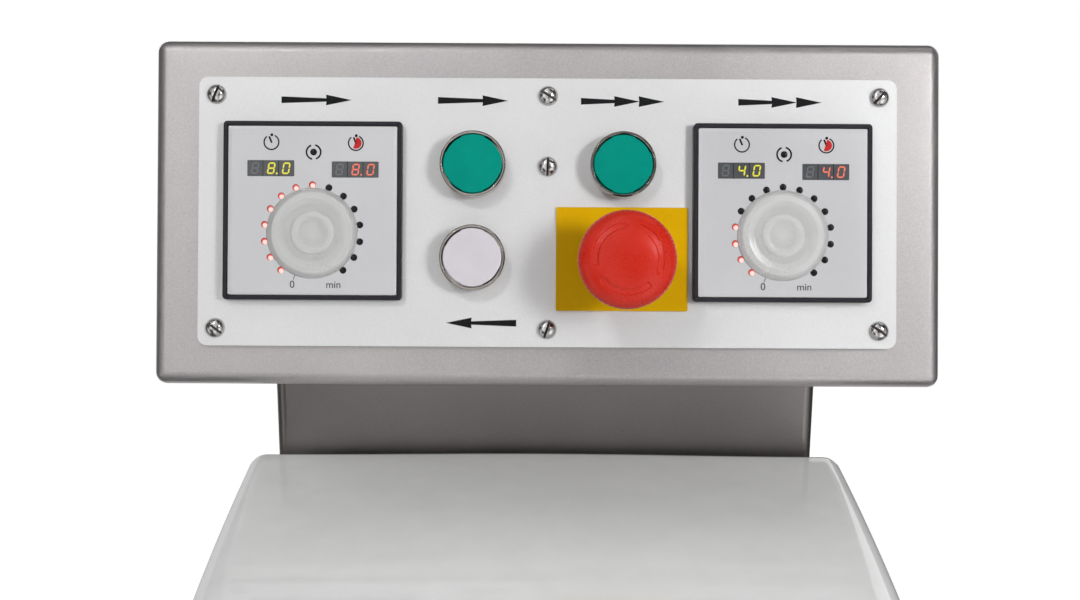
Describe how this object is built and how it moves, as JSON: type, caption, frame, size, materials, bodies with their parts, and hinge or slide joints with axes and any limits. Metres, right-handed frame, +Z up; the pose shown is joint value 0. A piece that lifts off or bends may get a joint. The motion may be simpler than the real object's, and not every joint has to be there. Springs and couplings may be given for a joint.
{
  "type": "spiral dough mixer",
  "caption": "Floor-standing spiral dough mixer with a turning steel bowl, spiral tool, breaker bar, hinged bowl guard and a tilted stainless control console behind its hood.",
  "frame": {"origin": "on the floor, under the centre of the machine's bounding box", "axes": "+Z up, -Y towards the operator, +X to the operator's right"},
  "size_m": [0.412, 0.6372, 1.1505],
  "materials": {
    "painted_steel": "light grey powder coat",
    "hood_shell": "glossy light grey gelcoat",
    "satin_stainless": "fine bead-blasted stainless steel",
    "neck_stainless": "fine bead-blasted stainless steel",
    "polished_stainless": "polished stainless steel",
    "bowl_stainless": "circular brushed stainless steel",
    "chrome_ring": "bright chrome",
    "anodised_plate": "light satin anodised",
    "screw_steel": "bright zinc-plated",
    "cast_iron": "machined and oiled",
    "motor_paint": "blue-grey motor enamel",
    "rubber": "matt black rubber",
    "black_plastic": "fine-textured black plastic",
    "timer_pane": "glossy light grey window film",
    "dial_plastic": "satin light grey plastic",
    "green_cap": "satin green plastic",
    "white_cap": "satin white plastic",
    "red_mushroom": "fine-textured red plastic",
    "yellow_label": "satin yellow plastic"
  },
  "bodies": {
    "frame": {"main_frame": "painted_steel", "rear_cover": "satin_stainless", "mains_gland": "black_plastic", "hood": "hood_shell", "foot_1": "rubber", "foot_2": "rubber", "foot_3": "rubber", "foot_4": "rubber", "bowl_bearing": "cast_iron", "bowl_belt": "rubber", "bowl_motor": "motor_paint", "spiral_lower_bearing": "satin_stainless", "spiral_upper_bearing": "cast_iron", "spiral_belt": "rubber", "spiral_motor": "motor_paint", "breaker_bar": "polished_stainless", "guard_pin_left": "polished_stainless", "guard_pin_right": "polished_stainless", "console_housing": "satin_stainless", "console_cover": "satin_stainless", "console_neck": "neck_stainless", "face_plate": "anodised_plate", "plate_screw_1": "screw_steel", "plate_screw_2": "screw_steel", "plate_screw_3": "screw_steel", "plate_screw_4": "screw_steel", "plate_screw_5": "screw_steel", "plate_screw_6": "screw_steel", "plate_screw_7": "screw_steel", "slow_timer_frame": "black_plastic", "slow_timer_pane": "timer_pane", "slow_timer_case": "black_plastic", "fast_timer_frame": "black_plastic", "fast_timer_pane": "timer_pane", "fast_timer_case": "black_plastic", "slow_start_ring": "chrome_ring", "slow_start_contacts": "black_plastic", "fast_start_ring": "chrome_ring", "fast_start_contacts": "black_plastic", "bowl_reverse_ring": "chrome_ring", "bowl_reverse_contacts": "black_plastic", "stop_label": "yellow_label", "stop_collar": "black_plastic", "stop_contacts": "black_plastic", "control_loom": "rubber"},
    "bowl": {"bowl": "bowl_stainless", "bowl_spindle": "polished_stainless", "bowl_pulley": "cast_iron"},
    "bowl_drive": {"bowl_motor_pulley": "cast_iron"},
    "spiral": {"spiral_tool": "polished_stainless", "spiral_pulley": "cast_iron"},
    "spiral_drive": {"spiral_motor_pulley": "cast_iron"},
    "guard": {"bowl_guard": "polished_stainless"},
    "slow_start_button": {"slow_start_cap": "green_cap"},
    "fast_start_button": {"fast_start_cap": "green_cap"},
    "bowl_reverse_button": {"bowl_reverse_cap": "white_cap"},
    "slow_dial": {"slow_timer_dial": "dial_plastic"},
    "fast_dial": {"fast_timer_dial": "dial_plastic"},
    "stop_plunger": {"stop_plunger": "black_plastic"},
    "stop_head": {"stop_mushroom": "red_mushroom"}
  },
  "joints": [
    {"name": "bowl_turn", "type": "hinge", "parent": "frame", "child": "bowl", "pos_m": [0, -0.11267, 0.564], "axis": [0, 0, 1], "continuous": true},
    {"name": "bowl_drive_turn", "type": "hinge", "parent": "frame", "child": "bowl_drive", "pos_m": [0, 0.20083, 0.3485], "axis": [0, 0, 1], "continuous": true},
    {"name": "spiral_turn", "type": "hinge", "parent": "frame", "child": "spiral", "pos_m": [0, -0.01767, 0.66], "axis": [0, 0, 1], "continuous": true},
    {"name": "spiral_drive_turn", "type": "hinge", "parent": "frame", "child": "spiral_drive", "pos_m": [0, 0.20083, 0.8598], "axis": [0, 0, 1], "continuous": true},
    {"name": "guard_lift", "type": "hinge", "parent": "frame", "child": "guard", "pos_m": [0, -0.05267, 0.796], "axis": [-1, 0, 0], "range_deg": [0, 70]},
    {"name": "slow_start_press", "type": "slide", "parent": "frame", "child": "slow_start_button", "axis": [0, 0.9659, -0.2588], "range_m": [0, 0.004], "stiffness_N_per_m": 500, "springref_m": -0.002},
    {"name": "fast_start_press", "type": "slide", "parent": "frame", "child": "fast_start_button", "axis": [0, 0.9659, -0.2588], "range_m": [0, 0.004], "stiffness_N_per_m": 500, "springref_m": -0.002},
    {"name": "bowl_reverse_press", "type": "slide", "parent": "frame", "child": "bowl_reverse_button", "axis": [0, 0.9659, -0.2588], "range_m": [0, 0.004], "stiffness_N_per_m": 500, "springref_m": -0.002},
    {"name": "slow_dial_turn", "type": "hinge", "parent": "frame", "child": "slow_dial", "pos_m": [-0.09925, 0.11188, 1.07242], "axis": [0, 0.9659, -0.2588], "continuous": true},
    {"name": "fast_dial_turn", "type": "hinge", "parent": "frame", "child": "fast_dial", "pos_m": [0.09925, 0.11188, 1.07242], "axis": [0, 0.9659, -0.2588], "continuous": true},
    {"name": "stop_press", "type": "slide", "parent": "frame", "child": "stop_plunger", "axis": [0, 0.9659, -0.2588], "range_m": [0, 0.005]},
    {"name": "stop_twist", "type": "hinge", "parent": "stop_plunger", "child": "stop_head", "pos_m": [0.03165, 0.07453, 1.0698], "axis": [0, 0.9659, -0.2588], "range_deg": [0, 45], "stiffness_Nm_per_rad": 0.05, "springref_deg": -5.73}
  ],
  "couplings": [
    {"joint": "bowl_drive_turn", "follows": "bowl_turn", "ratio": 3.4375},
    {"joint": "spiral_drive_turn", "follows": "spiral_turn", "ratio": 3.125}
  ]
}
